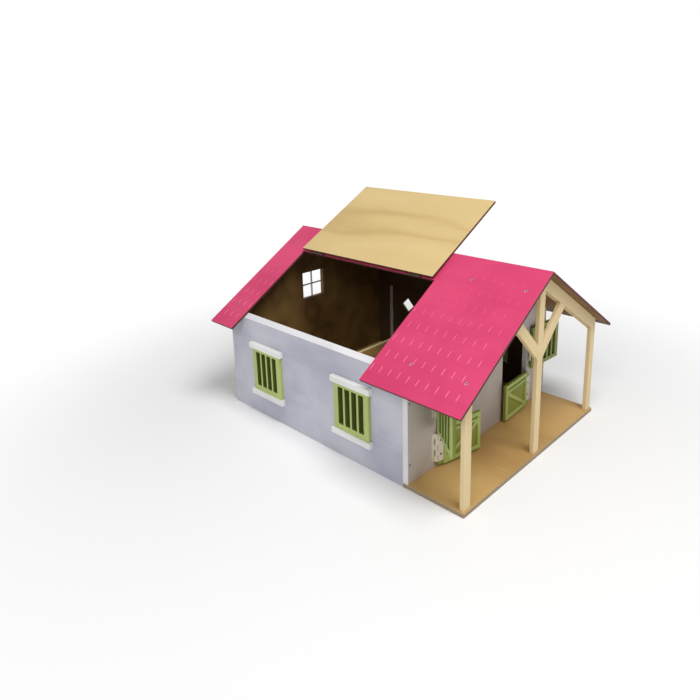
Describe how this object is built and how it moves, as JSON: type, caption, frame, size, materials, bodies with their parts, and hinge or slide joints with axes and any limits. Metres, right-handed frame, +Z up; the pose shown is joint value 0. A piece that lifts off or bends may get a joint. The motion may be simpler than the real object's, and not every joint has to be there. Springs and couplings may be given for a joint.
{
  "type": "toy horse stable",
  "caption": "Wooden toy horse stable with a gabled roof and lift-up flap, a porch, Dutch stall doors, barred windows and a store door.",
  "frame": {"origin": "middle of the roof's footprint at floor level", "axes": "+Z up, Y along the ridge with the porch at -Y, X across the width"},
  "size_m": [0.41, 0.51, 0.3435],
  "materials": {
    "pink_roof": "satin pink paint on thin board, bare wood underneath",
    "lavender_wall": "satin pale lavender grey paint, bare wood inside",
    "green_wood": "satin light green paint",
    "cream_trim": "satin off-white paint",
    "pine": "planed bare pine",
    "plywood": "bare plywood",
    "cream_hinge": "satin off-white enamel",
    "hinge_steel": "plain steel",
    "dark_screw": "darkened steel"
  },
  "bodies": {
    "stable": {"base_plate": "plywood", "left_wall": "lavender_wall", "right_wall": "lavender_wall", "front_gable": "lavender_wall", "rear_gable": "lavender_wall", "stall_divider": "plywood", "stall_back_wall": "plywood", "ridge_batten": "pine", "left_post": "pine", "centre_post": "pine", "right_post": "pine", "left_rafter": "pine", "right_rafter": "pine", "left_brace": "pine", "right_brace": "pine", "right_roof_panel": "pink_roof", "front_roof_panel": "pink_roof", "rear_roof_strip": "pink_roof", "ridge_roof_strip": "pink_roof", "roof_screws": "dark_screw", "gable_screws": "dark_screw", "left_rear_window_frame": "green_wood", "left_front_window_frame": "green_wood", "right_window_frame": "green_wood", "left_rear_lintel": "cream_trim", "left_front_lintel": "cream_trim", "right_lintel": "cream_trim", "left_rear_sill": "cream_trim", "left_front_sill": "cream_trim", "right_sill": "cream_trim", "rear_window_cross": "cream_trim", "stall_hinge_wall_plates": "cream_hinge", "store_hinge_wall_plates": "cream_hinge", "flap_hinge_roof_plates": "hinge_steel", "hinge_pins": "hinge_steel"},
    "flap": {"roof_flap": "pink_roof", "flap_hinge_leaves": "hinge_steel"},
    "store_door": {"store_door": "green_wood", "store_door_trim": "green_wood", "store_hinge_leaves": "cream_hinge", "store_hinge_screws": "dark_screw"},
    "left_lower_door": {"left_lower_door": "green_wood", "left_lower_door_trim": "green_wood", "left_lower_hinge_leaf": "cream_hinge", "left_lower_hinge_screws": "dark_screw"},
    "left_upper_door": {"left_upper_door": "green_wood", "left_upper_door_trim": "green_wood", "left_upper_hinge_leaf": "cream_hinge", "left_upper_hinge_screws": "dark_screw"},
    "right_lower_door": {"right_lower_door": "green_wood", "right_lower_door_trim": "green_wood", "right_lower_hinge_leaf": "cream_hinge", "right_lower_hinge_screws": "dark_screw"},
    "right_upper_door": {"right_upper_door": "green_wood", "right_upper_door_trim": "green_wood", "right_upper_hinge_leaf": "cream_hinge", "right_upper_hinge_screws": "dark_screw"}
  },
  "joints": [
    {"name": "flap_hinge", "type": "hinge", "parent": "stable", "child": "flap", "pos_m": [-0.05023, 0.05125, 0.24816], "axis": [0, -1, 0], "range_deg": [0, 182.84]},
    {"name": "left_lower_hinge", "type": "hinge", "parent": "stable", "child": "left_lower_door", "pos_m": [-0.123, -0.1574, 0.04], "axis": [0, 0, -1], "range_deg": [-12, 166]},
    {"name": "left_upper_hinge", "type": "hinge", "parent": "stable", "child": "left_upper_door", "pos_m": [-0.123, -0.1574, 0.107], "axis": [0, 0, -1], "range_deg": [-127, 51]},
    {"name": "right_lower_hinge", "type": "hinge", "parent": "stable", "child": "right_lower_door", "pos_m": [0.123, -0.1574, 0.04], "axis": [0, 0, 1], "range_deg": [-3, 175]},
    {"name": "right_upper_hinge", "type": "hinge", "parent": "stable", "child": "right_upper_door", "pos_m": [0.123, -0.1574, 0.107], "axis": [0, 0, 1], "range_deg": [-176, 2]},
    {"name": "store_door_hinge", "type": "hinge", "parent": "stable", "child": "store_door", "pos_m": [0.1824, 0.2, 0.07], "axis": [0, 0, 1], "range_deg": [0, 170]}
  ]
}
